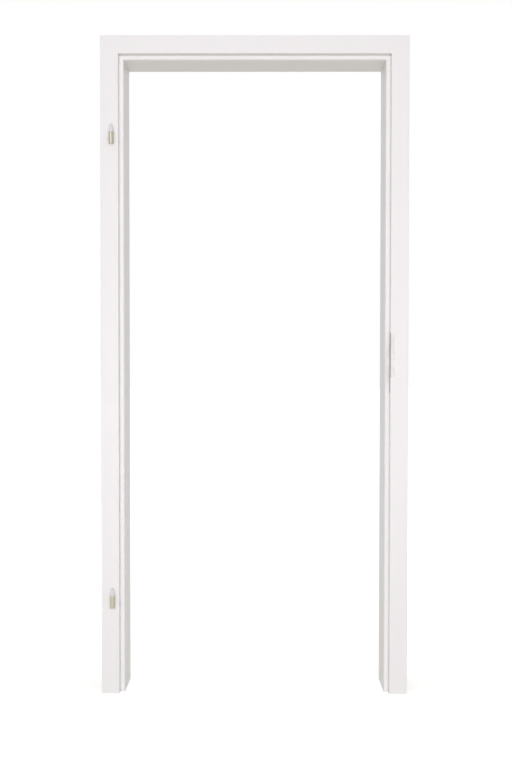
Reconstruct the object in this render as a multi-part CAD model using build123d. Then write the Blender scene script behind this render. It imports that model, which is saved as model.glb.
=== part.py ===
from build123d import *
import os

# White rebated door frame that wraps round a wall, for a leaf of 860 by 1985.
# All sizes are in millimetres. The frame stands on the floor with +Z up, the leaf's side faces -Y,
# the hinges are on the -X side and the lock is on the +X side.
#
# Two local measures place everything on a side of the frame:
#   u runs outwards from the clear opening, along the wall
#   d runs back from the face of the rebate casing, through the wall

# Clear opening between the linings
clear_width = 811.0
clear_height = 1968.0

# Rebate that the leaf closes into: the shoulder carries the seal, the side stands round the leaf's edge
shoulder_width = 15.0
rebate_depth = 26.0

# Rebate casing, an L-section: the flat face board, and a leg hooked round the front edge of the lining
casing_face_width = 55.0
casing_thickness = 22.0
casing_leg_width = 15.0
casing_leg_overlap = 10.0
casing_edge_radius = 2.0

# Lining, the board that lines the wall opening
lining_thickness = 22.0
lining_width = 139.0
lining_edge_radius = 1.5

# Seal: a hollow bulb on the shoulder, with a foot pressed into a groove beside the casing's leg
seal_groove_width = 4.0
seal_groove_depth = 8.0
seal_foot_gap = 0.4
seal_foot_rise = 1.0
seal_foot_length = 7.0
seal_bulb_width = 13.2
seal_bulb_height = 5.0
seal_bulb_radius = 2.0
seal_wall = 1.1
seal_side_gap = 0.4

# Trim casing on the far side of the wall, and the tongue glued into it that slides in the lining
trim_reveal = 5.0
trim_thickness = 16.0
trim_edge_radius = 2.0
tongue_line = 13.0
tongue_thickness = 7.0
tongue_reach = 28.0
tongue_seat = 8.0
tongue_gap = 0.3
tongue_end_gap = 2.0
tongue_lead = 1.5

# Corner joints of the lining: two dowels square to the mitre, and an angled bolt drawn tight by cams
dowel_radius = 4.0
dowel_gap = 0.1
dowel_skin = 1.2
bolt_inset = 9.5
bolt_reach = 30.0
bolt_radius = 3.0
bolt_neck_half_width = 1.6
bolt_neck_length = 2.5
bolt_head_length = 3.0
bolt_hole_radius = 3.8
cam_radius = 7.5
cam_thickness = 14.0
cam_gap = 0.1

# Dovetail keys driven into the casings' mitres from the wall side
key_half_length = 7.0
key_end_half_width = 4.0
key_waist_half_width = 2.0
key_gap = 0.1
casing_key_depth = 12.0
trim_key_depth = 9.0
key_edge_margin = 15.0

# Hinge parts on the frame: a barrel on a flat tab, with a standing pin in a plastic bush
hinge_axis_out = 20.5
hinge_axis_forward = 9.5
upper_hinge_drop = 241.0
lower_hinge_height = 307.0
barrel_radius = 7.5
barrel_length = 37.0
pin_radius = 3.0
pin_seat = 25.0
pin_rise = 23.4
pin_gap = 0.05
bush_radius = 4.4
bush_collar_radius = 7.0
bush_collar_length = 11.0
bush_stop_short = 1.0
tab_thickness = 3.5
tab_height = 32.0
tab_back_depth = 32.0
tab_corner = 3.0
tab_slot_gap = 0.4

# Hinge pocket: a steel sleeve let into the casing from behind, with a flange flush in its back
pocket_cover = 5.0
pocket_depth = 35.5
pocket_wall = 1.5
pocket_screw_wall = 5.0
pocket_side_gap = 0.15
pocket_fit_gap = 0.1
clamp_plate_thickness = 3.0
clamp_plate_length = 26.0
clamp_plate_gap = 0.15
flange_thickness = 2.0
flange_width = 18.0
flange_ear = 15.0
clamp_screw_radius = 3.0
clamp_screw_length = 7.2
clamp_screw_depth = 13.0
clamp_screw_drop = 8.5
clamp_socket_flats = 3.0
clamp_socket_depth = 3.5
clamp_hole_radius = 5.0
thread_gap = 0.05

# Countersunk wood screws, for the pocket flanges and the strike plate
screw_radius = 1.75
screw_head_radius = 3.5
screw_point_length = 4.0
pocket_screw_length = 16.0
strike_screw_length = 25.0

# Strike plate: let into the rebate side, with a lip that wraps on to the casing's face
strike_centre_height = 1035.0
strike_length = 190.0
strike_thickness = 2.0
strike_back_depth = 23.0
strike_corner_radius = 2.4
strike_fit_gap = 0.05
lip_length = 133.0
lip_from_top = 8.0
lip_width = 12.0
lip_proud = 1.0
lip_end_radius = 5.0
slot_front_depth = 6.0
slot_back_depth = 18.0
slot_corner_radius = 2.0
latch_slot_above_centre = 10.0
latch_slot_length = 47.0
bolt_slot_below_centre = 12.0
bolt_slot_length = 53.0
mortise_margin = 1.0
mortise_depth = 20.0
strike_screw_from_end = 9.0

# Sizes that follow from the ones above
half_clear = clear_width / 2
casing_reach = shoulder_width + casing_face_width
outer_height = clear_height + casing_reach
leg_outer = shoulder_width + casing_leg_width
leg_back = rebate_depth + casing_leg_overlap
lining_back = rebate_depth + lining_width
frame_depth = lining_back + trim_thickness
groove_bottom = lining_back - tongue_reach - tongue_end_gap
hinge_line = shoulder_width + hinge_axis_out
barrel_reach = hinge_axis_forward + barrel_radius
upper_hinge_top = clear_height + shoulder_width - upper_hinge_drop
hinge_tops = {"upper": upper_hinge_top, "lower": lower_hinge_height}
strike_top = strike_centre_height + strike_length / 2

# The casing's face in Y, with the whole depth, barrels and all, centred on Y = 0
front_y = (barrel_reach - frame_depth) / 2

# Which way u points along X on each upright, and the corners that each piece meets
HINGE = -1
LOCK = 1
SIGN = {"hinge_side": HINGE, "lock_side": LOCK}
CORNERS = {"hinge_side": [HINGE], "lock_side": [LOCK], "head": [HINGE, LOCK]}


# Helpers: sections, mitred members, and blocks and rods placed on an upright

def slab(u_low, u_high, d_low, d_high):
    """A rectangle of a section, given by its edges in u and d."""
    centre = Pos((u_low + u_high) / 2, (d_low + d_high) / 2)
    return centre * Rectangle(u_high - u_low, d_high - d_low)


def rounded(section, points, radius):
    """Round the section's corners that lie nearest to the given points."""
    corners = [section.vertices().sort_by_distance((u, d, 0))[0] for u, d in points]
    return fillet(corners, radius)


def mitre_zone(side):
    """The wedge of space that holds one side of the frame, up to the mitre planes."""
    span = 2 * casing_reach
    if side == "head":
        points = [
            (-half_clear - span, clear_height + span),
            (-half_clear, clear_height),
            (half_clear, clear_height),
            (half_clear + span, clear_height + span),
        ]
    else:
        s = SIGN[side]
        points = [
            (s * (half_clear - span), -span),
            (s * (half_clear + span), -span),
            (s * (half_clear + span), clear_height + span),
            (s * (half_clear - span), clear_height - span),
        ]
    return extrude(Plane.XZ * Polygon(*points, align=None), amount=2 * frame_depth, both=True)


def member(section, side):
    """Run a section along one side of the frame and mitre it at the top corners."""
    if side == "head":
        plane = Plane(origin=(0, front_y, clear_height), x_dir=(0, 0, 1), z_dir=(-1, 0, 0))
        bar = extrude(plane * section, amount=half_clear + casing_reach, both=True)
    else:
        s = SIGN[side]
        plane = Plane(origin=(s * half_clear, front_y, 0), x_dir=(s, 0, 0), z_dir=(0, 0, s))
        bar = extrude(plane * section, amount=outer_height, dir=(0, 0, 1))
    return bar & mitre_zone(side)


def block(s, u_low, u_high, d_low, d_high, z_low, z_high):
    """A box on the upright of sign s, given by its faces in u, d and z."""
    x = s * (half_clear + (u_low + u_high) / 2)
    centre = Pos(x, front_y + (d_low + d_high) / 2, (z_low + z_high) / 2)
    return centre * Box(u_high - u_low, d_high - d_low, z_high - z_low)


def rod(s, start, direction, radius, length):
    """A round rod from start, a point in u, d and z, that runs along u or down."""
    u, d, z = start
    world = {"u": (s, 0, 0), "-z": (0, 0, -1)}[direction]
    plane = Plane(origin=(s * (half_clear + u), front_y + d, z), z_dir=world)
    return plane * extrude(Circle(radius), amount=length)


def turned(s, start, profile):
    """An upright turned piece: its half profile, in radius and height, spun about an axis at start."""
    u, d, z = start
    face = Plane.XZ * Polygon(*profile, align=None)
    return Pos(s * (half_clear + u), front_y + d, z) * revolve(face, Axis.Z)


def mitre_plane(s, u, d):
    """A plane across a top corner's mitre: its normal is square to the mitre, at u from the opening."""
    origin = (s * (half_clear + u), front_y + d, clear_height + u)
    return Plane(origin=origin, x_dir=(0, 1, 0), z_dir=(-s, 0, 1))


# Lining: a board along each side, with the seal's groove and the casing's seat in front
# and the tongue's groove in its back edge

def lining_section():
    board = slab(0, lining_thickness, rebate_depth, lining_back)
    board = rounded(board, [(0, rebate_depth), (0, lining_back)], lining_edge_radius)
    groove_edge = shoulder_width - seal_groove_width
    board -= slab(groove_edge, shoulder_width, rebate_depth, rebate_depth + seal_groove_depth)
    board -= slab(shoulder_width, leg_outer, rebate_depth, leg_back)
    half_groove = tongue_thickness / 2 + tongue_gap
    board -= slab(tongue_line - half_groove, tongue_line + half_groove, groove_bottom, lining_back)
    return board


def corner_depths():
    """Depths of the three corner fittings, evenly spread between the casing's leg and the groove."""
    step = (groove_bottom - leg_back) / 4
    return [leg_back + step * i for i in (1, 2, 3)]


def bolt_depth():
    return corner_depths()[1]


def dowel_depths():
    return [corner_depths()[0], corner_depths()[2]]


bolt_line = lining_thickness - bolt_inset
mitre_half_thickness = lining_thickness / 2 * 2 ** 0.5
dowel_length = 2 * (mitre_half_thickness - dowel_radius - dowel_skin)


def corner_dowel(s, d, gap):
    plane = mitre_plane(s, lining_thickness / 2, d)
    return plane * Cylinder(dowel_radius + gap, dowel_length + 2 * gap)


def cam_plane(side, s):
    """Where a corner's cam sits in one lining: a plane on its wall side, with x towards the mitre."""
    if side == "head":
        origin = (s * (half_clear + bolt_line - bolt_reach), front_y + bolt_depth(),
                  clear_height + lining_thickness)
        return Plane(origin=origin, x_dir=(s, 0, 0), z_dir=(0, 0, 1))
    origin = (s * (half_clear + lining_thickness), front_y + bolt_depth(),
              clear_height + bolt_line - bolt_reach)
    return Plane(origin=origin, x_dir=(0, 0, 1), z_dir=(s, 0, 0))


def bolt_rod(side, s, radius, reach):
    """A rod on the bolt's line in one lining, from past the mitre to the given reach beyond it."""
    start = Pos(bolt_reach + bolt_inset, 0, -bolt_inset) * Rot(0, -90, 0)
    return cam_plane(side, s) * start * extrude(Circle(radius), amount=bolt_inset + reach)


def corner_cuts(side, s):
    """Everything that is bored into one lining at one top corner."""
    cam_bore = Cylinder(cam_radius + cam_gap, cam_thickness + cam_gap)
    cam_bore = cam_plane(side, s) * Pos(0, 0, -(cam_thickness + cam_gap) / 2) * cam_bore
    bolt_bore = bolt_rod(side, s, bolt_hole_radius, bolt_reach)
    return [cam_bore, bolt_bore] + [corner_dowel(s, d, dowel_gap) for d in dowel_depths()]


def lining(side):
    board = member(lining_section(), side)
    for s in CORNERS[side]:
        board -= corner_cuts(side, s)
    return board


def corner_dowels():
    return [corner_dowel(s, d, 0) for s in (HINGE, LOCK) for d in dowel_depths()]


def bolt_leg(side, s):
    """One leg of the corner bolt: mitred at the corner, with two flats behind the head in the cam."""
    half_head = bolt_head_length / 2
    leg = bolt_rod(side, s, bolt_radius, bolt_reach + half_head) & mitre_zone(side)
    neck = cam_plane(side, s) * Pos(half_head + bolt_neck_length / 2, 0, -bolt_inset)
    for way in (1, -1):
        flat = Pos(0, 0, way * (bolt_neck_half_width + bolt_radius))
        leg -= neck * flat * Box(bolt_neck_length, 2 * bolt_radius, 2 * bolt_radius)
    return leg


def corner_bolts():
    """Bolts with two legs at a right angle, one leg in the upright and one in the head."""
    return [bolt_leg(side, s) + bolt_leg("head", s) for side, s in SIGN.items()]


def corner_cam():
    """A cam on its outer face: a disc, slotted where it takes the bolt's head."""
    disc = Pos(0, 0, -cam_thickness / 2) * Cylinder(cam_radius, cam_thickness)
    slot_length = cam_radius + bolt_hole_radius
    slot = Pos(cam_radius - slot_length / 2, 0, -bolt_inset)
    return disc - slot * Box(slot_length, 2 * bolt_hole_radius, 2 * bolt_hole_radius)


def corner_cams():
    return [cam_plane(place, s) * corner_cam() for side, s in SIGN.items() for place in (side, "head")]


# Rebate casing: the L-section that shows from the leaf's side, milled for the hinges or the strike

def rebate_casing_section():
    board = slab(shoulder_width, casing_reach, 0, casing_thickness)
    leg = slab(shoulder_width, leg_outer, 0, leg_back)
    return rounded(board + leg, [(shoulder_width, 0), (casing_reach, 0)], casing_edge_radius)


def key_spots(inner_edge):
    """Where a mitre's two keys sit along it, in u: evenly in from the casing's edges."""
    return [inner_edge + key_edge_margin, casing_reach - key_edge_margin]


def mitre_key(s, u, d_low, d_high, gap):
    """A dovetail key across the mitre, widest at its two ends and narrow at the mitre itself."""
    length = key_half_length + gap
    end = key_end_half_width + gap
    waist = key_waist_half_width + gap
    outline = Polygon(
        (-length, -end), (0, -waist), (length, -end), (length, end), (0, waist), (-length, end),
        align=None)
    centre = (s * (half_clear + u), front_y + d_low, clear_height + u)
    plane = Plane(origin=centre, x_dir=(-s, 0, 1), z_dir=(0, 1, 0))
    return plane * extrude(outline, amount=d_high - d_low)


def casing_keys(gap=0.0):
    return {s: [mitre_key(s, u, casing_thickness - casing_key_depth, casing_thickness, gap)
                for u in key_spots(leg_outer)] for s in (HINGE, LOCK)}


def rebate_casing(side):
    casing = member(rebate_casing_section(), side)
    for s in CORNERS[side]:
        casing -= casing_keys(key_gap)[s]
    if side == "hinge_side":
        for name in hinge_tops:
            casing -= hinge_cuts(name)
    if side == "lock_side":
        casing -= strike_cuts()
    return casing


# Seal: one strip along each side, mitred at the corners

def seal_section():
    bulb_outer = shoulder_width - seal_side_gap
    bulb_inner = bulb_outer - seal_bulb_width
    top = rebate_depth - seal_bulb_height
    bulb = slab(bulb_inner, bulb_outer, top, rebate_depth)
    bulb = rounded(bulb, [(bulb_inner, top), (bulb_outer, top)], seal_bulb_radius)
    hollow = slab(bulb_inner + seal_wall, bulb_outer - seal_wall, top + seal_wall, rebate_depth - seal_wall)
    hollow = rounded(
        hollow, [(bulb_inner, top), (bulb_outer, top)], max(seal_bulb_radius - seal_wall, seal_wall))
    foot_inner = shoulder_width - seal_groove_width + seal_foot_gap
    foot_outer = shoulder_width - seal_foot_gap
    foot = slab(foot_inner, foot_outer, rebate_depth - seal_foot_rise, rebate_depth + seal_foot_length)
    return bulb + foot - hollow


def seal(side):
    return member(seal_section(), side)


# Trim casing and its tongue, which move in and out together to suit the wall

def tongue_edges():
    return tongue_line - tongue_thickness / 2, tongue_line + tongue_thickness / 2


def trim_casing_section():
    board = slab(trim_reveal, casing_reach, lining_back, frame_depth)
    board = rounded(board, [(trim_reveal, frame_depth), (casing_reach, frame_depth)], trim_edge_radius)
    low, high = tongue_edges()
    return board - slab(low, high, lining_back, lining_back + tongue_seat)


def trim_keys(gap=0.0):
    return {s: [mitre_key(s, u, lining_back, lining_back + trim_key_depth, gap)
                for u in key_spots(tongue_line + tongue_thickness / 2)] for s in (HINGE, LOCK)}


def trim_casing(side):
    casing = member(trim_casing_section(), side)
    for s in CORNERS[side]:
        casing -= trim_keys(key_gap)[s]
    return casing


def trim_tongue(side):
    low, high = tongue_edges()
    tip = lining_back - tongue_reach
    strip = slab(low, high, tip, lining_back + tongue_seat)
    ends = [strip.vertices().sort_by_distance((u, tip, 0))[0] for u in (low, high)]
    return member(chamfer(ends, tongue_lead), side)


# Hinge parts on the hinge side upright

tab_inner = hinge_line - tab_thickness / 2
tab_outer = hinge_line + tab_thickness / 2
plate_outer = tab_inner - clamp_plate_gap
plate_inner = plate_outer - clamp_plate_thickness
cavity_inner = plate_inner - clamp_plate_gap
cavity_outer = tab_outer + pocket_side_gap
pocket_inner = cavity_inner - pocket_screw_wall
pocket_outer = cavity_outer + pocket_wall
cavity_half_height = tab_height / 2 + pocket_side_gap
pocket_half_height = cavity_half_height + pocket_wall
flange_outer = leg_outer + flange_width
flange_half_height = pocket_half_height + flange_ear
flange_front = casing_thickness - flange_thickness


def hinge_middle(name):
    return hinge_tops[name] - barrel_length / 2


def hinge_barrel(name):
    """A round barrel with a flat tab that runs back through the casing into the pocket."""
    middle = hinge_middle(name)
    bore = pin_radius + pin_gap
    bore_end = -pin_seat - pin_gap
    profile = [(0, bore_end), (bore, bore_end), (bore, 0), (barrel_radius, 0),
               (barrel_radius, -barrel_length), (0, -barrel_length)]
    barrel = turned(HINGE, (hinge_line, -hinge_axis_forward, hinge_tops[name]), profile)
    tab_front = (pin_radius + barrel_radius) / 2 - hinge_axis_forward
    tab = block(HINGE, tab_inner, tab_outer, tab_front, tab_back_depth,
                middle - tab_height / 2, middle + tab_height / 2)
    back_edges = tab.edges().filter_by(Axis.X).sort_by(Axis.Y)[-2:]
    return barrel + chamfer(back_edges, tab_corner)


def hinge_pin(name):
    start = (hinge_line, -hinge_axis_forward, hinge_tops[name] - pin_seat)
    length = pin_seat + pin_rise
    return turned(HINGE, start, [(0, 0), (pin_radius, 0), (pin_radius, length), (0, length)])


def hinge_bush(name):
    """A plastic bush over the pin: a thick collar on the barrel, and a thin sleeve for the leaf's part."""
    start = (hinge_line, -hinge_axis_forward, hinge_tops[name])
    bore = pin_radius + pin_gap
    top = pin_rise - bush_stop_short
    profile = [(bore, 0), (bush_collar_radius, 0), (bush_collar_radius, bush_collar_length),
               (bush_radius, bush_collar_length), (bush_radius, top), (bore, top)]
    return turned(HINGE, start, profile)


def pocket_screw_planes(name):
    """The seats of a pocket flange's two screws: planes on the flange, facing the wall."""
    middle = hinge_middle(name)
    x = HINGE * (half_clear + (pocket_outer + flange_outer) / 2)
    offset = pocket_half_height + flange_ear / 2
    return [Plane(origin=(x, front_y + casing_thickness, z), z_dir=(0, 1, 0))
            for z in (middle - offset, middle + offset)]


def hinge_pocket(name):
    """A steel sleeve round the tab, open in front, with a thick wall for the clamp screw and a flange."""
    middle = hinge_middle(name)
    sleeve = block(HINGE, pocket_inner, pocket_outer, pocket_cover, pocket_depth,
                   middle - pocket_half_height, middle + pocket_half_height)
    sleeve += block(HINGE, leg_outer + pocket_fit_gap, flange_outer, flange_front, casing_thickness,
                    middle - flange_half_height, middle + flange_half_height)
    sleeve -= block(HINGE, cavity_inner, cavity_outer, pocket_cover, pocket_depth - pocket_wall,
                    middle - cavity_half_height, middle + cavity_half_height)
    sleeve -= rod(HINGE, (pocket_inner, clamp_screw_depth, middle - clamp_screw_drop), "u",
                  clamp_screw_radius + thread_gap, pocket_screw_wall)
    return sleeve - [plane * countersink(flange_thickness) for plane in pocket_screw_planes(name)]


def clamp_plate(name):
    middle = hinge_middle(name)
    half = tab_height / 2 - clamp_plate_gap
    front = pocket_cover + clamp_plate_gap
    return block(HINGE, plate_inner, plate_outer, front, front + clamp_plate_length,
                 middle - half, middle + half)


def clamp_screw(name):
    """A headless screw with a hexagon socket, turned through the hole in the rebate's side."""
    z = hinge_middle(name) - clamp_screw_drop
    start_u = plate_inner - clamp_screw_length
    screw = rod(HINGE, (start_u, clamp_screw_depth, z), "u", clamp_screw_radius, clamp_screw_length)
    socket_plane = Plane(
        origin=(HINGE * (half_clear + start_u), front_y + clamp_screw_depth, z), z_dir=(HINGE, 0, 0))
    socket = RegularPolygon(clamp_socket_flats / 2, 6, major_radius=False)
    return screw - socket_plane * extrude(socket, amount=clamp_socket_depth)


def hinge_cuts(name):
    """What is milled into the hinge side casing for one hinge."""
    middle = hinge_middle(name)
    half_slot = tab_height / 2 + tab_slot_gap
    slot = block(HINGE, tab_inner - tab_slot_gap, tab_outer + tab_slot_gap, 0, pocket_cover,
                 middle - half_slot, middle + half_slot)
    half_seat = pocket_half_height + pocket_fit_gap
    seat = block(HINGE, pocket_inner - pocket_fit_gap, pocket_outer + pocket_fit_gap,
                 pocket_cover - pocket_fit_gap, leg_back, middle - half_seat, middle + half_seat)
    access = rod(HINGE, (shoulder_width, clamp_screw_depth, middle - clamp_screw_drop), "u",
                 clamp_hole_radius, pocket_inner - shoulder_width)
    half_flange = flange_half_height + pocket_fit_gap
    flange_seat = block(HINGE, leg_outer, flange_outer + pocket_fit_gap, flange_front, casing_thickness,
                        middle - half_flange, middle + half_flange)
    pilots = [plane * pilot(pocket_screw_length) for plane in pocket_screw_planes(name)]
    return [slot, seat, access, flange_seat] + pilots


# Wood screws and their holes, each drawn at the origin with its head up

def wood_screw(length, sheet):
    """A countersunk screw, its head flush in a sheet of the given thickness."""
    shank_end = length - screw_point_length
    profile = [(0, 0), (screw_head_radius, 0), (screw_radius, -sheet), (screw_radius, -shank_end),
               (0, -length)]
    return revolve(Plane.XZ * Polygon(*profile, align=None), Axis.Z)


def countersink(sheet):
    """The sunk hole that a wood screw needs in a sheet."""
    profile = [(0, 0), (screw_head_radius + thread_gap, 0), (screw_radius + thread_gap, -sheet),
               (0, -sheet)]
    return revolve(Plane.XZ * Polygon(*profile, align=None), Axis.Z)


def pilot(length):
    """The hole that a wood screw cuts in the board."""
    return Pos(0, 0, -length) * extrude(Circle(screw_radius + thread_gap), amount=length)


def pocket_screws():
    return [plane * wood_screw(pocket_screw_length, flange_thickness)
            for name in hinge_tops for plane in pocket_screw_planes(name)]


slot_middle_depth = (slot_front_depth + slot_back_depth) / 2


def strike_screw_planes():
    """The seats of the strike plate's two screws, facing the opening."""
    top = strike_top - strike_screw_from_end
    bottom = strike_top - strike_length + strike_screw_from_end
    x = LOCK * (half_clear + shoulder_width)
    return [Plane(origin=(x, front_y + slot_middle_depth, z), z_dir=(-LOCK, 0, 0)) for z in (bottom, top)]


def strike_screws():
    return [plane * wood_screw(strike_screw_length, strike_thickness) for plane in strike_screw_planes()]


# Strike plate

def strike_slots():
    """The latch and bolt slots: name, low z and high z."""
    latch_low = strike_centre_height + latch_slot_above_centre
    bolt_high = strike_centre_height - bolt_slot_below_centre
    return [(latch_low, latch_low + latch_slot_length), (bolt_high - bolt_slot_length, bolt_high)]


def strike_section(width, gap):
    """The plate's bent section: flat in the rebate's side, round the casing's edge, out on its face."""
    outer = slab(shoulder_width, shoulder_width + width, -lip_proud, strike_back_depth + gap)
    inner = slab(shoulder_width + strike_thickness + gap, shoulder_width + width,
                 -lip_proud + strike_thickness + gap, strike_back_depth + gap)
    bent = outer - inner
    return rounded(bent, [(shoulder_width, -lip_proud)], strike_corner_radius)


def strike_bar(section, z_low, z_high):
    plane = Plane(origin=(LOCK * half_clear, front_y, z_low), x_dir=(LOCK, 0, 0), z_dir=(0, 0, LOCK))
    return extrude(plane * section, amount=z_high - z_low, dir=(0, 0, 1))


def strike_body(gap):
    """The plate without its slots: the lip is shorter than the flat, with rounded ends."""
    lip_top = strike_top - lip_from_top
    lip_bottom = lip_top - lip_length
    bent = strike_bar(strike_section(lip_width + gap, gap), lip_bottom - gap, lip_top + gap)
    lip_corners = bent.edges().filter_by(Axis.Y).sort_by(Axis.X)[-2:]
    bent = fillet(lip_corners, lip_end_radius)
    flat = slab(shoulder_width, shoulder_width + strike_thickness + gap,
                casing_edge_radius, strike_back_depth + gap)
    return bent + strike_bar(flat, strike_top - strike_length - gap, strike_top + gap)


def strike_plate():
    plate = strike_body(0)
    for z_low, z_high in strike_slots():
        middle = (LOCK * (half_clear + shoulder_width), front_y + slot_middle_depth, (z_low + z_high) / 2)
        opening = Plane(origin=middle, x_dir=(0, 1, 0), z_dir=(LOCK, 0, 0))
        outline = RectangleRounded(slot_back_depth - slot_front_depth, z_high - z_low, slot_corner_radius)
        plate -= opening * extrude(outline, amount=strike_thickness)
    return plate - [plane * countersink(strike_thickness) for plane in strike_screw_planes()]


def strike_cuts():
    """What is milled into the lock side casing: the plate's seat, two mortises and two pilot holes."""
    cuts = [strike_body(strike_fit_gap)]
    behind = shoulder_width + strike_thickness
    for z_low, z_high in strike_slots():
        cuts.append(block(LOCK, behind, behind + mortise_depth, slot_front_depth - mortise_margin,
                          slot_back_depth + mortise_margin, z_low - mortise_margin,
                          z_high + mortise_margin))
    return cuts + [plane * pilot(strike_screw_length) for plane in strike_screw_planes()]


# Write one file for each piece or group of like pieces

def write(name, shape):
    if isinstance(shape, list):
        shape = Compound(children=[piece.solids()[0] for piece in shape])
    export_step(shape, f"parts/{name}.step")


def main():
    os.makedirs("parts", exist_ok=True)
    for side in ("hinge_side", "lock_side", "head"):
        write(f"lining_{side}", lining(side))
        write(f"rebate_casing_{side}", rebate_casing(side))
        write(f"seal_{side}", seal(side))
        write(f"trim_casing_{side}", trim_casing(side))
        write(f"trim_tongue_{side}", trim_tongue(side))
    for name in hinge_tops:
        write(f"{name}_hinge_barrel", hinge_barrel(name))
        write(f"{name}_hinge_pin", hinge_pin(name))
        write(f"{name}_hinge_bush", hinge_bush(name))
        write(f"{name}_hinge_pocket", hinge_pocket(name))
        write(f"{name}_clamp_plate", clamp_plate(name))
    write("clamp_screws", [clamp_screw(name) for name in hinge_tops])
    write("pocket_screws", pocket_screws())
    write("strike_plate", strike_plate())
    write("strike_screws", strike_screws())
    write("corner_dowels", corner_dowels())
    write("corner_bolts", corner_bolts())
    write("corner_cams", corner_cams())
    write("casing_keys", sum(casing_keys().values(), []))
    write("trim_keys", sum(trim_keys().values(), []))


main()
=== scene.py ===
import math
import bmesh
import bpy
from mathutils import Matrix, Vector


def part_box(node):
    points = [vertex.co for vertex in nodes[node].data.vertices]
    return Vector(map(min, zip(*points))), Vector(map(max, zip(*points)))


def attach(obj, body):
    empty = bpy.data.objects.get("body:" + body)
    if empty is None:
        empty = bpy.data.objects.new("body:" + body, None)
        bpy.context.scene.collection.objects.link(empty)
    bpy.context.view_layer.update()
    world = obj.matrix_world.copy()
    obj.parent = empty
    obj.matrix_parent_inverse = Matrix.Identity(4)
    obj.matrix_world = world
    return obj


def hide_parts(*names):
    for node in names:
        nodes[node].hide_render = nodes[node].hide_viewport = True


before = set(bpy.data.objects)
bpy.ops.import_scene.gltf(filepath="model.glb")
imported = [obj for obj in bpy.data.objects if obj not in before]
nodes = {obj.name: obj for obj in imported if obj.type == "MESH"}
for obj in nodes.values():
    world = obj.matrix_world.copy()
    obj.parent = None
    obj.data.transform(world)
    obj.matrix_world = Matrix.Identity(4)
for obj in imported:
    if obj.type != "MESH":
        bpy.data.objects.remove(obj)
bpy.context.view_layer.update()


# The frame stands free on a plain pale floor, photographed from the leaf's side at chest height,
# a little to the right of the middle and tipped down by less than two degrees.

photo_width_px = 512
photo_height_px = 767
focal_length_px = 1098.9
sensor_width = 36.0
camera_place = (0.0203, -3.4831, 1.0617)
camera_tip = 0.0274
camera_roll = -0.0008
camera_swing = 0.0046

camera_data = bpy.data.cameras.new("camera")
camera_data.sensor_width = sensor_width
camera_data.lens = focal_length_px * sensor_width / max(photo_width_px, photo_height_px)
camera = bpy.data.objects.new("camera", camera_data)
camera.location = camera_place
camera.rotation_euler = (math.pi / 2 - camera_tip, camera_roll, camera_swing)
bpy.context.scene.collection.objects.link(camera)
bpy.context.scene.camera = camera
bpy.context.scene.view_settings.view_transform = "Standard"


# Studio light: an even white room, a large soft box high on the left in front of the frame, a wide
# one on the right that keeps the shadows open, and a long low one for the feet.

lamp_color = (0.965, 0.945, 1.0)
frame_middle = (0.0, 0.0, 1.0)
frame_foot = (0.0, 0.0, 0.4)


def soft_box(name, place, target, size, power):
    """A rectangular lamp turned towards its target, with its power in watts."""
    light = bpy.data.lights.new(name, "AREA")
    light.shape = "RECTANGLE"
    light.size, light.size_y = size
    light.energy = power
    light.color = lamp_color
    lamp = bpy.data.objects.new(name, light)
    lamp.location = place
    lamp.rotation_euler = (Vector(target) - Vector(place)).to_track_quat("-Z", "Y").to_euler()
    bpy.context.scene.collection.objects.link(lamp)


soft_box("key_soft_box", place=(-1.2, -6.0, 3.2), target=frame_middle, size=(3.6, 3.6), power=47.0)
soft_box("fill_soft_box", place=(1.8, -6.2, 1.2), target=frame_middle, size=(4.2, 2.4), power=53.0)
soft_box("low_soft_box", place=(-0.5, -5.2, 0.5), target=frame_foot, size=(2.0, 0.8), power=57.0)


def joined(tree, source, target):
    """Feeds a socket from another node's output, or sets it to a plain number or colour."""
    if isinstance(source, (int, float, tuple)):
        target.default_value = source
    else:
        tree.links.new(source, target)


def math_node(tree, operation, first, second, clamp=False):
    """The result of a sum on two outputs or numbers."""
    node = tree.nodes.new("ShaderNodeMath")
    node.operation = operation
    node.use_clamp = clamp
    joined(tree, first, node.inputs[0])
    joined(tree, second, node.inputs[1])
    return node.outputs[0]


def seen_directly(tree):
    """One where a ray comes from the camera, a reflection or clear glass, and zero for lighting rays."""
    ray = tree.nodes.new("ShaderNodeLightPath").outputs
    seen_or_mirrored = math_node(tree, "MAXIMUM", ray["Is Camera Ray"], ray["Is Glossy Ray"])
    return math_node(tree, "MAXIMUM", seen_or_mirrored, ray["Is Transmission Ray"])


level_light = 0.57
overhead_light = 0.59
room_color = (1.0, 0.985, 0.985, 1.0)
backdrop_white = (1.0, 1.0, 1.0, 1.0)

world = bpy.data.worlds.new("white_room")
bpy.context.scene.world = world
world.use_nodes = True
room = world.node_tree
room.nodes.clear()
direction = room.nodes.new("ShaderNodeTexCoord")
upwards = room.nodes.new("ShaderNodeSeparateXYZ")
joined(room, direction.outputs["Generated"], upwards.inputs[0])
with_height = room.nodes.new("ShaderNodeMapRange")
joined(room, upwards.outputs["Z"], with_height.inputs["Value"])
joined(room, level_light, with_height.inputs["To Min"])
joined(room, overhead_light, with_height.inputs["To Max"])
lighting = room.nodes.new("ShaderNodeBackground")
joined(room, room_color, lighting.inputs["Color"])
joined(room, with_height.outputs["Result"], lighting.inputs["Strength"])
backdrop = room.nodes.new("ShaderNodeBackground")
joined(room, backdrop_white, backdrop.inputs["Color"])
joined(room, 1.0, backdrop.inputs["Strength"])
either = room.nodes.new("ShaderNodeMixShader")
joined(room, seen_directly(room), either.inputs[0])
joined(room, lighting.outputs[0], either.inputs[1])
joined(room, backdrop.outputs[0], either.inputs[2])
room_out = room.nodes.new("ShaderNodeOutputWorld")
joined(room, either.outputs[0], room_out.inputs["Surface"])


# Floor: plain white paint, lifted to the white of the room where it is seen, so that only the
# frame's own soft shadow shows on it.

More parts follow.
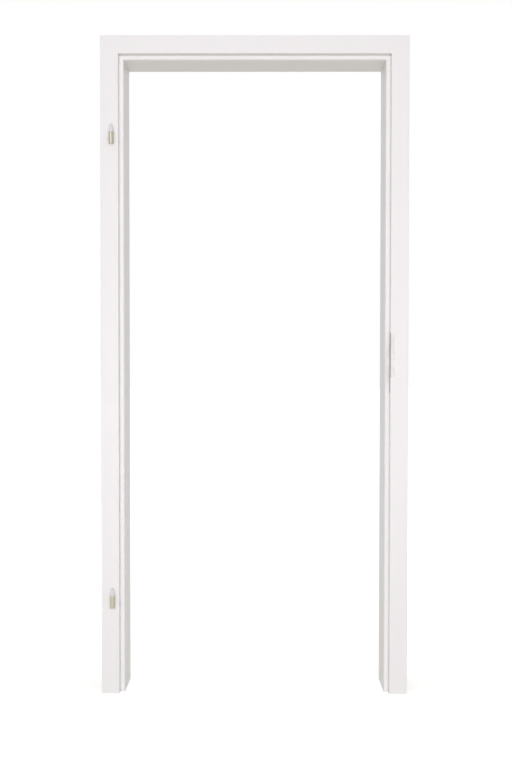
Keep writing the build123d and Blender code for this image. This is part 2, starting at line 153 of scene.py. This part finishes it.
floor_half = 30.0
near_floor = 0.6
far_floor = 2.6
near_lift = 0.66
far_lift = 0.74
floor_color = (0.70, 0.67, 0.58, 1.0)
floor_roughness = 0.7
floor_shine = 0.2
lift_color = (0.92, 0.95, 1.0, 1.0)

mesh = bpy.data.meshes.new("floor")
mesh.from_pydata(
    [(-floor_half, -floor_half, 0), (floor_half, -floor_half, 0),
     (floor_half, floor_half, 0), (-floor_half, floor_half, 0)], [], [(0, 1, 2, 3)])
floor = bpy.data.objects.new("floor", mesh)
bpy.context.scene.collection.objects.link(floor)

paint = bpy.data.materials.new("floor_white")
paint.use_nodes = True
tree = paint.node_tree
tree.nodes.clear()
matt = tree.nodes.new("ShaderNodeBsdfPrincipled")
joined(tree, floor_color, matt.inputs["Base Color"])
joined(tree, floor_roughness, matt.inputs["Roughness"])
joined(tree, floor_shine, matt.inputs["Specular IOR Level"])
floor_place = tree.nodes.new("ShaderNodeTexCoord")
distance = tree.nodes.new("ShaderNodeVectorMath")
distance.operation = "LENGTH"
joined(tree, floor_place.outputs["Object"], distance.inputs[0])
with_distance = tree.nodes.new("ShaderNodeMapRange")
with_distance.interpolation_type = "SMOOTHSTEP"
joined(tree, distance.outputs["Value"], with_distance.inputs["Value"])
joined(tree, near_floor, with_distance.inputs["From Min"])
joined(tree, far_floor, with_distance.inputs["From Max"])
joined(tree, near_lift, with_distance.inputs["To Min"])
joined(tree, far_lift, with_distance.inputs["To Max"])
lift = tree.nodes.new("ShaderNodeEmission")
joined(tree, lift_color, lift.inputs["Color"])
joined(tree, math_node(tree, "MULTIPLY", seen_directly(tree), with_distance.outputs["Result"]),
       lift.inputs["Strength"])
both = tree.nodes.new("ShaderNodeAddShader")
joined(tree, matt.outputs[0], both.inputs[0])
joined(tree, lift.outputs[0], both.inputs[1])
floor_out = tree.nodes.new("ShaderNodeOutputMaterial")
joined(tree, both.outputs[0], floor_out.inputs["Surface"])
floor.data.materials.append(paint)


# Linings: fibreboard, 22 mm thick, lacquered white on the side of the opening and on both long
# edges, and mitred and bolted at the top corners. The wall side has a brown balancing paper, and
# cut ends and grooves show the bare board.

mix_sockets = {"RGBA": (6, 7, 2), "FLOAT": (2, 3, 0)}
noise_low = 0.3
noise_high = 0.7


def new_group(name, inputs, outputs):
    """A shader node group with named inputs, each with its value, and named outputs."""
    tree = bpy.data.node_groups.new(name, "ShaderNodeTree")
    for label, value in inputs.items():
        kind = "NodeSocketColor" if isinstance(value, tuple) else "NodeSocketFloat"
        socket = tree.interface.new_socket(name=label, in_out="INPUT", socket_type=kind)
        socket.default_value = value
    for label, kind in outputs.items():
        tree.interface.new_socket(name=label, in_out="OUTPUT", socket_type=kind)
    return tree, tree.nodes.new("NodeGroupInput"), tree.nodes.new("NodeGroupOutput")


def mixed(tree, factor, first, second, kind="RGBA"):
    """A mix of two colours, or of two numbers where kind is FLOAT."""
    node = tree.nodes.new("ShaderNodeMix")
    node.data_type = kind
    first_input, second_input, output = mix_sockets[kind]
    joined(tree, factor, node.inputs["Factor"])
    joined(tree, first, node.inputs[first_input])
    joined(tree, second, node.inputs[second_input])
    return node.outputs[output]


def noise(tree, place, scale, detail, roughness=0.5):
    node = tree.nodes.new("ShaderNodeTexNoise")
    joined(tree, place, node.inputs["Vector"])
    joined(tree, scale, node.inputs["Scale"])
    joined(tree, detail, node.inputs["Detail"])
    joined(tree, roughness, node.inputs["Roughness"])
    return node


def spread(tree, value, low=noise_low, high=noise_high, to_low=0.0, to_high=1.0):
    """A noise drawn out from the range in which its values lie to the range that is wanted."""
    node = tree.nodes.new("ShaderNodeMapRange")
    for label, number in (("From Min", low), ("From Max", high), ("To Min", to_low), ("To Max", to_high)):
        joined(tree, number, node.inputs[label])
    joined(tree, value, node.inputs["Value"])
    return node.outputs["Result"]


def object_place(tree):
    """Where a point lies on the piece, in metres."""
    return tree.nodes.new("ShaderNodeTexCoord").outputs["Object"]


def coat_edge_group():
    """Where a board's coat covers it, and where two boards meet in a mitre.

    Out is the distance outwards from the clear opening, the same on all three sides of the frame."""
    tree, inside, outside = new_group(
        "coat_edge",
        {"Half Opening": 0.4, "Opening Height": 2.0, "Inner": 0.0, "Outer": 1.0, "Front": -1.0, "Back": 1.0,
         "Coat Depth": 0.0006, "Foot": 0.0002, "Joint Width": 0.0001},
        {"Coated": "NodeSocketFloat", "Joint": "NodeSocketFloat"})
    axes = tree.nodes.new("ShaderNodeSeparateXYZ")
    joined(tree, object_place(tree), axes.inputs[0])
    from_middle = math_node(tree, "ABSOLUTE", axes.outputs["X"], 0.0)
    across = math_node(tree, "SUBTRACT", from_middle, inside.outputs["Half Opening"])
    above = math_node(tree, "SUBTRACT", axes.outputs["Z"], inside.outputs["Opening Height"])
    out = math_node(tree, "MAXIMUM", across, above)
    from_sides = math_node(tree, "MINIMUM",
                           math_node(tree, "SUBTRACT", out, inside.outputs["Inner"]),
                           math_node(tree, "SUBTRACT", inside.outputs["Outer"], out))
    from_faces = math_node(tree, "MINIMUM",
                           math_node(tree, "SUBTRACT", axes.outputs["Y"], inside.outputs["Front"]),
                           math_node(tree, "SUBTRACT", inside.outputs["Back"], axes.outputs["Y"]))
    nearest = math_node(tree, "MINIMUM", from_sides, from_faces)
    on_coat = math_node(tree, "LESS_THAN", nearest, inside.outputs["Coat Depth"])
    off_floor = math_node(tree, "GREATER_THAN", axes.outputs["Z"], inside.outputs["Foot"])
    joined(tree, math_node(tree, "MULTIPLY", on_coat, off_floor), outside.inputs["Coated"])
    from_mitre = math_node(tree, "ABSOLUTE", math_node(tree, "SUBTRACT", across, above), 0.0)
    on_joint = math_node(tree, "LESS_THAN", from_mitre, inside.outputs["Joint Width"])
    joined(tree, on_joint, outside.inputs["Joint"])
    return tree


def satin_coat_group():
    """Sprayed satin lacquer: a faint orange peel, slow changes of tone and slightly uneven gloss."""
    tree, inside, outside = new_group(
        "satin_coat",
        {"Coat Color": (0.86, 0.855, 0.865, 1.0), "Tone": 0.02, "Gloss": 0.42},
        {"Color": "NodeSocketColor", "Roughness": "NodeSocketFloat", "Height": "NodeSocketFloat"})
    grey_tone = (0.55, 0.53, 0.50, 1.0)
    place = object_place(tree)
    peel = noise(tree, place, scale=420.0, detail=2.0)
    joined(tree, peel.outputs["Fac"], outside.inputs["Height"])
    clouds = noise(tree, place, scale=3.5, detail=3.0)
    fading = spread(tree, clouds.outputs["Fac"], to_low=1.0, to_high=0.0)
    tone = math_node(tree, "MULTIPLY", fading, inside.outputs["Tone"])
    joined(tree, mixed(tree, tone, inside.outputs["Coat Color"], grey_tone), outside.inputs["Color"])
    rub = noise(tree, place, scale=28.0, detail=4.0, roughness=0.6)
    uneven = spread(tree, rub.outputs["Fac"], to_low=-0.04, to_high=0.05)
    joined(tree, math_node(tree, "ADD", inside.outputs["Gloss"], uneven), outside.inputs["Roughness"])
    return tree


def bare_board_group():
    """Pressed fibreboard: short brown fibres, darker specks and a soft fuzz."""
    tree, inside, outside = new_group(
        "bare_board",
        {"Light": (0.50, 0.37, 0.24, 1.0), "Dark": (0.28, 0.19, 0.11, 1.0), "Fibre Size": 900.0},
        {"Color": "NodeSocketColor", "Height": "NodeSocketFloat"})
    fibre_curl = 1.4
    place = object_place(tree)
    fibre = noise(tree, place, inside.outputs["Fibre Size"], detail=6.0, roughness=0.65)
    joined(tree, fibre_curl, fibre.inputs["Distortion"])
    joined(tree, fibre.outputs["Fac"], outside.inputs["Height"])
    specks = noise(tree, place, scale=240.0, detail=3.0, roughness=0.7)
    amount = math_node(tree, "ADD", spread(tree, fibre.outputs["Fac"], low=0.35, to_high=0.7),
                       spread(tree, specks.outputs["Fac"], low=0.58, high=0.72, to_high=0.5), clamp=True)
    joined(tree, mixed(tree, amount, inside.outputs["Light"], inside.outputs["Dark"]),
           outside.inputs["Color"])
    return tree


coat_edge = coat_edge_group()
satin_coat = satin_coat_group()
bare_board = bare_board_group()


def placed(tree, group, **values):
    """One use of a node group in a material, with its own values."""
    node = tree.nodes.new("ShaderNodeGroup")
    node.node_tree = group
    for label, value in values.items():
        node.inputs[label.replace("_", " ")].default_value = value
    return node


def plain_material(name):
    material = bpy.data.materials.new(name)
    material.use_nodes = True
    return material, material.node_tree, material.node_tree.nodes["Principled BSDF"]


def bumped(tree, surface, height, strength, distance):
    bump = tree.nodes.new("ShaderNodeBump")
    joined(tree, strength, bump.inputs["Strength"])
    joined(tree, distance, bump.inputs["Distance"])
    joined(tree, height, bump.inputs["Height"])
    joined(tree, bump.outputs["Normal"], surface.inputs["Normal"])


def finish_node(name, material):
    nodes[name].data.materials.clear()
    nodes[name].data.materials.append(material)


def corner(name, way, axis):
    """One number of a node's box: way 0 is its lowest corner and 1 its highest."""
    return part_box(name)[way][axis]


half_opening = -corner("lining_hinge_side", 1, 0)
opening_height = corner("lining_head", 0, 2)
casing_front = corner("rebate_casing_head", 0, 1)
casing_back = corner("trim_casing_head", 1, 1)
casing_outer = corner("rebate_casing_head", 1, 2) - opening_height
rebate_inner = corner("rebate_casing_head", 0, 2) - opening_height
trim_inner = corner("trim_casing_head", 0, 2) - opening_height
lining_front = corner("lining_head", 0, 1)
lining_back = corner("lining_head", 1, 1)
far_away = 1.0
lacquer_white = (0.872, 0.866, 0.876, 1.0)
joint_shade = (0.62, 0.61, 0.60, 1.0)
paper_light = (0.62, 0.50, 0.36, 1.0)
paper_dark = (0.42, 0.31, 0.20, 1.0)
bare_roughness = 0.9
peel_share = 0.12


def coated_board(name, bare_light, bare_dark, inner, outer, front, back):
    """White satin lacquer inside the given edges, and bare board where milling or the wall side shows."""
    material, tree, surface = plain_material(name)
    edge = placed(tree, coat_edge, Half_Opening=half_opening, Opening_Height=opening_height,
                  Inner=inner, Outer=outer, Front=front, Back=back)
    coated = edge.outputs["Coated"]
    coat = placed(tree, satin_coat, Coat_Color=lacquer_white)
    bare = placed(tree, bare_board, Light=bare_light, Dark=bare_dark)
    lined = mixed(tree, edge.outputs["Joint"], coat.outputs["Color"], joint_shade)
    color = mixed(tree, coated, bare.outputs["Color"], lined)
    roughness = mixed(tree, coated, bare_roughness, coat.outputs["Roughness"], "FLOAT")
    peel = math_node(tree, "MULTIPLY", coat.outputs["Height"], peel_share)
    height = mixed(tree, coated, bare.outputs["Height"], peel, "FLOAT")
    joined(tree, color, surface.inputs["Base Color"])
    joined(tree, roughness, surface.inputs["Roughness"])
    bumped(tree, surface, height, strength=0.35, distance=0.0003)
    return material


lining_board = coated_board("lining_board", paper_light, paper_dark,
                            inner=0.0, outer=far_away, front=lining_front, back=lining_back)
for side in ("hinge_side", "lock_side", "head"):
    finish_node(f"lining_{side}", lining_board)


# Rebate casings: an L-shaped moulding of the same board, wrapped in white from the rebate over the
# face to the outer edge, and bare behind. It is milled for the hinges and for the strike plate.

board_light = (0.50, 0.37, 0.24, 1.0)
board_dark = (0.28, 0.19, 0.11, 1.0)

rebate_board = coated_board("rebate_board", board_light, board_dark,
                            inner=rebate_inner, outer=casing_outer, front=casing_front, back=far_away)
for side in ("hinge_side", "lock_side", "head"):
    finish_node(f"rebate_casing_{side}", rebate_board)


# Trim casings and their tongues: the flat second casing, white on its face and edges, glued to a
# bare fibreboard tongue that slides in the lining's back groove.

tongue_light = (0.47, 0.34, 0.22, 1.0)
tongue_dark = (0.25, 0.17, 0.10, 1.0)
tongue_roughness = 0.88

trim_board = coated_board("trim_board", board_light, board_dark,
                          inner=trim_inner, outer=casing_outer, front=-far_away, back=casing_back)
tongue_board, tree, surface = plain_material("tongue_board")
fibres = placed(tree, bare_board, Light=tongue_light, Dark=tongue_dark)
joined(tree, fibres.outputs["Color"], surface.inputs["Base Color"])
joined(tree, tongue_roughness, surface.inputs["Roughness"])
bumped(tree, surface, fibres.outputs["Height"], strength=0.4, distance=0.0003)
for side in ("hinge_side", "lock_side", "head"):
    finish_node(f"trim_casing_{side}", trim_board)
    finish_node(f"trim_tongue_{side}", tongue_board)


# Seal: an extruded bulb strip of soft white elastomer, matt and faintly streaked, pressed into its
# groove on the shoulder. On the uprights its bulb spreads until it touches the rebate's side.

seal_white = (0.94, 0.935, 0.94, 1.0)
seal_shade = (0.90, 0.895, 0.895, 1.0)
seal_roughness = 0.62
seal_sheen = 0.15

white_seal, tree, surface = plain_material("white_seal")
streaks = noise(tree, object_place(tree), scale=160.0, detail=4.0, roughness=0.6).outputs["Fac"]
joined(tree, mixed(tree, spread(tree, streaks, low=0.35), seal_white, seal_shade),
       surface.inputs["Base Color"])
joined(tree, seal_roughness, surface.inputs["Roughness"])
joined(tree, seal_sheen, surface.inputs["Sheen Weight"])
bumped(tree, surface, streaks, strength=0.25, distance=0.0002)

same_place = 1e-6
on_mitre = 1e-4
flat_angle = math.radians(0.5)
sharp_angle = math.radians(35)


def merged_copy(name):
    """A node's mesh as one closed skin, with its flat faces whole, ready for modelling on."""
    skin = bmesh.new()
    skin.from_mesh(nodes[name].data)
    bmesh.ops.remove_doubles(skin, verts=skin.verts, dist=same_place)
    bmesh.ops.dissolve_limit(skin, angle_limit=flat_angle, verts=skin.verts, edges=skin.edges)
    return skin


def smooth_but_for_edges(piece):
    piece.data.shade_smooth()
    piece.data.set_sharp_from_angle(angle=sharp_angle)


def new_piece(name, skin, material):
    """An object made from a finished skin."""
    mesh = bpy.data.meshes.new(name)
    skin.to_mesh(mesh)
    skin.free()
    mesh.materials.append(material)
    piece = bpy.data.objects.new(name, mesh)
    bpy.context.scene.collection.objects.link(piece)
    smooth_but_for_edges(piece)
    return piece


bulb_side = corner("seal_head", 1, 2) - opening_height
seal_spread = rebate_inner - bulb_side
spread_from = bulb_side - seal_spread / 2
for side in ("hinge_side", "lock_side", "head"):
    skin = merged_copy(f"seal_{side}")
    for vertex in skin.verts:
        across = abs(vertex.co.x) - half_opening
        above = vertex.co.z - opening_height
        mitred = abs(across - above) < on_mitre
        if max(across, above) >= spread_from and (mitred or side != "head"):
            vertex.co.x += math.copysign(seal_spread, vertex.co.x)
    seal = new_piece(f"seal_{side}_pressed", skin, white_seal)
    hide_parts(f"seal_{side}")
    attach(seal, "frame")


# Hinge barrels: turned steel, satin nickel plated with a warm tone, with turning marks that run
# round them. The flat tab of each passes through a slot in the casing into the pocket behind.

def brushed_metal_group():
    """Fine marks in one direction, with the plate's slow changes of tone and gloss."""
    tree, inside, outside = new_group(
        "brushed_metal",
        {"Metal Color": (0.6, 0.6, 0.6, 1.0), "Shade": 0.25, "Gloss": 0.3,
         "Along X": 1.0, "Along Y": 1.0, "Along Z": 1.0},
        {"Color": "NodeSocketColor", "Roughness": "NodeSocketFloat", "Height": "NodeSocketFloat"})
    groove_color = (0.12, 0.11, 0.10, 1.0)
    groove_depth = 0.45
    place = object_place(tree)
    scale = tree.nodes.new("ShaderNodeCombineXYZ")
    for i, label in enumerate(("Along X", "Along Y", "Along Z")):
        joined(tree, inside.outputs[label], scale.inputs[i])
    product = tree.nodes.new("ShaderNodeVectorMath")
    product.operation = "MULTIPLY"
    joined(tree, place, product.inputs[0])
    joined(tree, scale.outputs[0], product.inputs[1])
    marks = noise(tree, product.outputs[0], scale=1000.0, detail=3.0, roughness=0.6).outputs["Fac"]
    joined(tree, marks, outside.inputs["Height"])
    clouds = noise(tree, place, scale=90.0, detail=3.0).outputs["Fac"]
    dark = mixed(tree, groove_depth, inside.outputs["Metal Color"], groove_color)
    shade = math_node(tree, "MULTIPLY", spread(tree, marks, low=0.35), inside.outputs["Shade"])
    joined(tree, mixed(tree, shade, inside.outputs["Metal Color"], dark), outside.inputs["Color"])
    uneven = math_node(tree, "ADD", spread(tree, marks, to_low=-0.05, to_high=0.06),
                       spread(tree, clouds, to_low=-0.03, to_high=0.05))
    joined(tree, math_node(tree, "ADD", inside.outputs["Gloss"], uneven), outside.inputs["Roughness"])
    return tree


brushed_metal = brushed_metal_group()
mark_depth = 0.00008


def metal(name, color, gloss, along, shade=0.25, bump=0.12):
    """A plated metal: along says how closely its marks lie in X, Y and Z."""
    material, tree, surface = plain_material(name)
    marks = placed(tree, brushed_metal, Metal_Color=color, Gloss=gloss, Shade=shade,
                   Along_X=along[0], Along_Y=along[1], Along_Z=along[2])
    joined(tree, 1.0, surface.inputs["Metallic"])
    joined(tree, marks.outputs["Color"], surface.inputs["Base Color"])
    joined(tree, marks.outputs["Roughness"], surface.inputs["Roughness"])
    bumped(tree, surface, marks.outputs["Height"], bump, mark_depth)
    return material


def with_modifiers_applied(piece):
    """The piece with its modifiers made part of its mesh."""
    bpy.context.view_layer.update()
    shaped = piece.evaluated_get(bpy.context.evaluated_depsgraph_get())
    piece.data = bpy.data.meshes.new_from_object(shaped)
    piece.modifiers.clear()


def softened(node, suffix, body, material, edge):
    """A metal or moulded piece in the place of its node, with its edges broken by a small round.

    The round takes up all of the turn from face to face, so that flat faces still mirror as flat."""
    piece = new_piece(f"{node}_{suffix}", merged_copy(node), material)
    bevel = piece.modifiers.new("broken_edges", "BEVEL")
    bevel.width = edge
    bevel.segments = 2
    bevel.limit_method = "ANGLE"
    bevel.angle_limit = sharp_angle
    bevel.use_clamp_overlap = True
    bevel.harden_normals = True
    with_modifiers_applied(piece)
    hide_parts(node)
    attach(piece, body)


turned_edge = 0.0006
warm_nickel = metal("warm_nickel", color=(0.49, 0.467, 0.37, 1.0), gloss=0.15,
                    along=(0.4, 0.4, 9.0), shade=0.14, bump=0.04)
for name in ("upper", "lower"):
    softened(f"{name}_hinge_barrel", "turned", f"{name}_hinge", warm_nickel, turned_edge)


# Hinge pins and bushes: a ground steel pin stands in the barrel, inside a moulded bush of pale grey
# plastic whose thick collar carries the leaf.

moulded_edge = 0.0005
bush_light = (0.78, 0.78, 0.79, 1.0)
bush_dark = (0.72, 0.72, 0.73, 1.0)

ground_steel = metal("ground_steel", color=(0.62, 0.62, 0.63, 1.0), gloss=0.2,
                     along=(0.3, 0.3, 6.0), shade=0.15)
bush_plastic, tree, surface = plain_material("bush_plastic")
place = object_place(tree)
grain = noise(tree, place, scale=1500.0, detail=3.0).outputs["Fac"]
clouds = noise(tree, place, scale=120.0, detail=2.0).outputs["Fac"]
joined(tree, mixed(tree, spread(tree, clouds), bush_light, bush_dark), surface.inputs["Base Color"])
joined(tree, spread(tree, grain, to_low=0.34, to_high=0.5), surface.inputs["Roughness"])
bumped(tree, surface, grain, strength=0.15, distance=0.00006)
for name in ("upper", "lower"):
    softened(f"{name}_hinge_pin", "ground", f"{name}_hinge", ground_steel, turned_edge)
    softened(f"{name}_hinge_bush", "moulded", f"{name}_hinge", bush_plastic, moulded_edge)


# Hinge pockets and clamp plates: pressed steel sleeves, zinc plated with a bluish tone and screwed
# on behind the casing, and the plates that press on the hinge tabs inside them.

pressed_edge = 0.0003
zinc_plate = metal("zinc_plate", color=(0.60, 0.62, 0.65, 1.0), gloss=0.34,
                   along=(1.0, 6.0, 1.0), shade=0.3)
for name in ("upper", "lower"):
    softened(f"{name}_hinge_pocket", "pressed", "frame", zinc_plate, pressed_edge)
    softened(f"{name}_clamp_plate", "pressed", "frame", zinc_plate, pressed_edge)


# Screws: rolled wood screws with a cross recess hold the pocket flanges and the strike plate, and
# headless clamp screws with a machine thread and a hexagon socket press on the clamp plates.

screw_zinc = metal("screw_zinc", color=(0.58, 0.59, 0.62, 1.0), gloss=0.3,
                   along=(2.0, 2.0, 2.0), shade=0.3)
rows_per_turn = 8
plug_overhang = 0.1


def separate_solids(name):
    """The lowest and highest corner of each solid in a node that holds several, in order of place."""
    skin = merged_copy(name)
    boxes, seen = [], set()
    for start in skin.verts:
        if start in seen:
            continue
        seen.add(start)
        reached, places = [start], []
        while reached:
            vertex = reached.pop()
            places.append(tuple(vertex.co))
            for edge in vertex.link_edges:
                other = edge.other_vert(vertex)
                if other not in seen:
                    seen.add(other)
                    reached.append(other)
        boxes.append((tuple(map(min, zip(*places))), tuple(map(max, zip(*places)))))
    skin.free()
    return sorted(boxes)


def end_face(low, high, x):
    """The middle of an end face at x, for a screw that lies along X."""
    return x, (low[1] + high[1]) / 2, (low[2] + high[2]) / 2


def placed_ring(skin, end, into, depth, outline):
    """A ring of vertices round an axis that runs into a screw from its end face."""
    turn = Vector(into).to_track_quat("X", "Z")
    return [skin.verts.new(Vector(end) + turn @ Vector((depth, across, up))) for across, up in outline]


def closed_between(skin, rings):
    """Side faces from ring to ring, and the two end faces."""
    for first, second in zip(rings, rings[1:]):
        for i in range(len(first)):
            j = (i + 1) % len(first)
            skin.faces.new((first[i], first[j], second[j], second[i]))
    skin.faces.new(rings[0])
    skin.faces.new(rings[-1])


def threaded(skin, end, into, length, pitch, radius_at, around=24):
    """A screw's skin: radius_at gives its radius at a depth and a share of a turn."""
    rows = round(length / pitch * rows_per_turn)
    rings = []
    for row in range(rows + 1):
        depth = length * row / rows
        outline = []
        for step in range(around):
            angle = 2 * math.pi * step / around
            radius = radius_at(depth, step / around)
            outline.append((radius * math.cos(angle), radius * math.sin(angle)))
        rings.append(placed_ring(skin, end, into, depth, outline))
    closed_between(skin, rings)


def ridge(depth, turn, pitch, share):
    """The height of a thread, from 0 at its root to 1 at its crest. Share is its foot's part of a pitch."""
    phase = (depth / pitch - turn) % 1
    return max(0.0, 1 - abs(phase - 0.5) * 2 / share)


def plug(skin, end, into, outline, depth, narrowing=1.0):
    """What is cut from an end face: the outline there, drawn in to its share narrowing at the bottom."""
    slope = (1 - narrowing) / depth
    rings = []
    for reach in (-plug_overhang * depth, depth):
        share = 1 - slope * reach
        rings.append(placed_ring(skin, end, into, reach, [(y * share, z * share) for y, z in outline]))
    closed_between(skin, rings)


def cross_outline(half_length, half_width):
    outline = []
    for c, s in ((1, 0), (0, 1), (-1, 0), (0, -1)):
        for y, z in ((half_length, -half_width), (half_length, half_width), (half_width, half_width)):
            outline.append((c * y - s * z, s * y + c * z))
    return outline


def hexagon_outline(across_flats):
    corner_radius = across_flats / 2 / math.cos(math.pi / 6)
    return [(corner_radius * math.cos(math.pi / 3 * i), corner_radius * math.sin(math.pi / 3 * i))
            for i in range(6)]


def cut_piece(name, skin, plugs, node, material):
    """A piece in the place of its node, with the plugs cut out of its skin."""
    for part in (skin, plugs):
        bmesh.ops.recalc_face_normals(part, faces=part.faces)
    piece = new_piece(name, skin, material)
    cutter = new_piece("recess_plugs", plugs, material)
    cut = piece.modifiers.new("recesses", "BOOLEAN")
    cut.operation = "DIFFERENCE"
    cut.solver = "EXACT"
    cut.object = cutter
    with_modifiers_applied(piece)
    smooth_but_for_edges(piece)
    bpy.data.objects.remove(cutter)
    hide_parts(node)
    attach(piece, "frame")


head_height = 0.002
wood_pitch = 0.0016
wood_core = 0.0012
wood_crest = 0.00175
wood_thread_share = 0.62
wood_point = 0.004
point_bulge = 0.8
tip_radius = 0.00004
plain_shank = 0.004
shank_share = 0.4
cross_half_length = 0.0019
cross_half_width = 0.00042
cross_depth = 0.0017
cross_narrowing = 0.35


def wood_screw_radius(length, head_radius):
    def radius_at(depth, turn):
        if depth < head_height:
            return head_radius + (wood_crest - head_radius) * depth / head_height
        point = min(1.0, (length - depth) / wood_point) ** point_bulge
        start = min(1.0, max(0.0, (depth - plain_shank) / wood_pitch))
        body = wood_core + (wood_crest - wood_core) * max(1 - start, 0.0) * shank_share
        thread = (wood_crest - body) * start * ridge(depth, turn, wood_pitch, wood_thread_share)
        return (body + thread) * point + tip_radius
    return radius_at


for name in ("pocket_screws", "strike_screws"):
    skin, plugs = bmesh.new(), bmesh.new()
    for low, high in separate_solids(name):
        head = end_face(low, high, low[0])
        length = high[0] - low[0]
        threaded(skin, head, (1, 0, 0), length, wood_pitch,
                 wood_screw_radius(length, (high[2] - low[2]) / 2))
        plug(plugs, head, (1, 0, 0), cross_outline(cross_half_length, cross_half_width), cross_depth,
             cross_narrowing)
    cut_piece(f"{name}_threaded", skin, plugs, name, screw_zinc)

clamp_pitch = 0.001
clamp_core = 0.00255
clamp_thread_share = 0.9
clamp_end_step = 0.0001
clamp_end_slope = 0.8
clamp_socket = 0.003
clamp_socket_depth = 0.0035


def clamp_screw_radius(length, crest):
    def radius_at(depth, turn):
        from_end = min(depth, length - depth)
        full = clamp_core + (crest - clamp_core) * ridge(depth, turn, clamp_pitch, clamp_thread_share)
        return min(full, clamp_core - clamp_end_step + from_end * clamp_end_slope)
    return radius_at


skin, plugs = bmesh.new(), bmesh.new()
for low, high in separate_solids("clamp_screws"):
    socket_end = end_face(low, high, high[0])
    length = high[0] - low[0]
    threaded(skin, socket_end, (-1, 0, 0), length, clamp_pitch,
             clamp_screw_radius(length, (high[2] - low[2]) / 2), around=32)
    plug(plugs, socket_end, (-1, 0, 0), hexagon_outline(clamp_socket), clamp_socket_depth)
cut_piece("clamp_screws_threaded", skin, plugs, "clamp_screws", screw_zinc)


# Strike plate: bent steel strip, satin nickel plated and brushed along its length. Its lip wraps on
# to the casing's face, and two screws hold the plate in the side of the rebate.

strike_nickel = metal("strike_nickel", color=(0.475, 0.463, 0.447, 1.0), gloss=0.52,
                      along=(6.0, 6.0, 0.25), shade=0.18)
softened("strike_plate", "brushed", "frame", strike_nickel, pressed_edge)


# Corner fittings: zinc plated bolts, drawn tight by die-cast cams and set by beech dowels, hold the
# mitred linings together. Dark moulded dovetail keys hold the mitres of both casings.

cam_cross_half_length = 0.0034
cam_cross_half_width = 0.0008
cam_cross_depth = 0.0035
cam_cross_narrowing = 0.45
beech_grain = (60.0, 900.0, 60.0)
beech_light = (0.70, 0.50, 0.31, 1.0)
beech_dark = (0.52, 0.33, 0.18, 1.0)
beech_roughness = 0.75
key_dark = (0.045, 0.045, 0.048, 1.0)
key_light = (0.075, 0.075, 0.08, 1.0)

finish_node("corner_bolts", screw_zinc)
cam_zinc = metal("cam_zinc", color=(0.52, 0.53, 0.54, 1.0), gloss=0.42,
                 along=(1.5, 1.5, 1.5), shade=0.4, bump=0.3)
plugs = bmesh.new()
for low, high in separate_solids("corner_cams"):
    middle = [(a + b) / 2 for a, b in zip(low, high)]
    on_head = middle[2] > opening_height
    outwards = (0, 0, 1) if on_head else (math.copysign(1, middle[0]), 0, 0)
    face = [m + (b - a) / 2 * way for m, a, b, way in zip(middle, low, high, outwards)]
    plug(plugs, face, [-way for way in outwards],
         cross_outline(cam_cross_half_length, cam_cross_half_width), cam_cross_depth, cam_cross_narrowing)
cut_piece("corner_cams_recessed", merged_copy("corner_cams"), plugs, "corner_cams", cam_zinc)

beech, tree, surface = plain_material("beech")
along_grain = tree.nodes.new("ShaderNodeMapping")
joined(tree, object_place(tree), along_grain.inputs["Vector"])
joined(tree, beech_grain, along_grain.inputs["Scale"])
grain = noise(tree, along_grain.outputs["Vector"], scale=1.0, detail=5.0, roughness=0.6).outputs["Fac"]
joined(tree, mixed(tree, spread(tree, grain), beech_light, beech_dark), surface.inputs["Base Color"])
joined(tree, beech_roughness, surface.inputs["Roughness"])
bumped(tree, surface, grain, strength=0.3, distance=0.0002)
finish_node("corner_dowels", beech)

key_plastic, tree, surface = plain_material("key_plastic")
grain = noise(tree, object_place(tree), scale=900.0, detail=3.0).outputs["Fac"]
joined(tree, mixed(tree, spread(tree, grain), key_dark, key_light), surface.inputs["Base Color"])
joined(tree, spread(tree, grain, to_low=0.4, to_high=0.6), surface.inputs["Roughness"])
bumped(tree, surface, grain, strength=0.2, distance=0.0001)
for name in ("casing_keys", "trim_keys"):
    finish_node(name, key_plastic)
